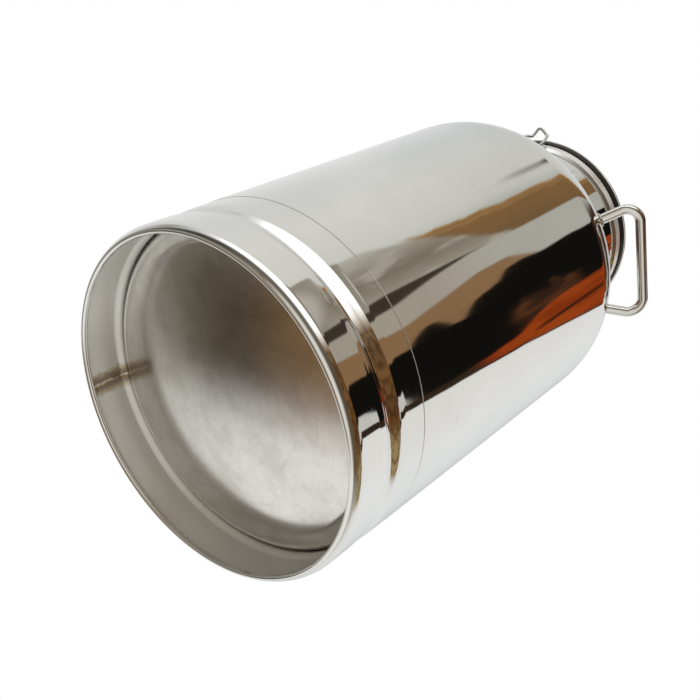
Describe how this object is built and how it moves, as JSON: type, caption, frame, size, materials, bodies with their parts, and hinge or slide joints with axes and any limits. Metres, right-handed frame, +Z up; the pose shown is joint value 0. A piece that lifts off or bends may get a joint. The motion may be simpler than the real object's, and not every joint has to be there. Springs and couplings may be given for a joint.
{
  "type": "milk can",
  "caption": "Upright steel milk can with a domed shoulder, narrow neck, two rod side handles, a recessed dished bottom and a domed lid held by wire clips.",
  "frame": {"origin": "centre of the circle that the foot stands on", "axes": "+Z up along the can's axis to the mouth, +X and -X through the side handles, +Y and -Y through the lid clips"},
  "size_m": [0.3272, 0.3006, 0.592],
  "materials": {
    "polished_steel": "mirror-polished stainless steel with faint wiping marks",
    "satin_steel": "satin stainless steel with fine circular machining lines",
    "rod_steel": "bright drawn stainless rod and wire, lightly polished",
    "black_rubber": "matt black food-grade rubber"
  },
  "bodies": {
    "can": {"barrel": "polished_steel", "shoulder": "polished_steel", "neck": "polished_steel", "mouth_ring": "polished_steel", "foot_skirt": "polished_steel", "rim_wire": "satin_steel", "bottom_dish": "satin_steel", "side_handle_right": "rod_steel", "side_handle_left": "rod_steel", "clip_hinge_front": "satin_steel", "clip_hinge_rear": "satin_steel"},
    "lid": {"lid_cover": "polished_steel", "lid_locator": "satin_steel", "gasket": "black_rubber", "lid_handle": "rod_steel"},
    "clip_front": {"clip_bail_front": "rod_steel"},
    "clip_rear": {"clip_bail_rear": "rod_steel"}
  },
  "joints": [
    {"name": "lid_lift", "type": "slide", "parent": "can", "child": "lid", "axis": [0, 0, 1], "range_m": [0, 0.22]},
    {"name": "clip_front_swing", "type": "hinge", "parent": "can", "child": "clip_front", "pos_m": [0, -0.1013, 0.485], "axis": [1, 0, 0], "range_deg": [-2, 135]},
    {"name": "clip_rear_swing", "type": "hinge", "parent": "can", "child": "clip_rear", "pos_m": [0, 0.1013, 0.485], "axis": [-1, 0, 0], "range_deg": [-2, 135]}
  ]
}
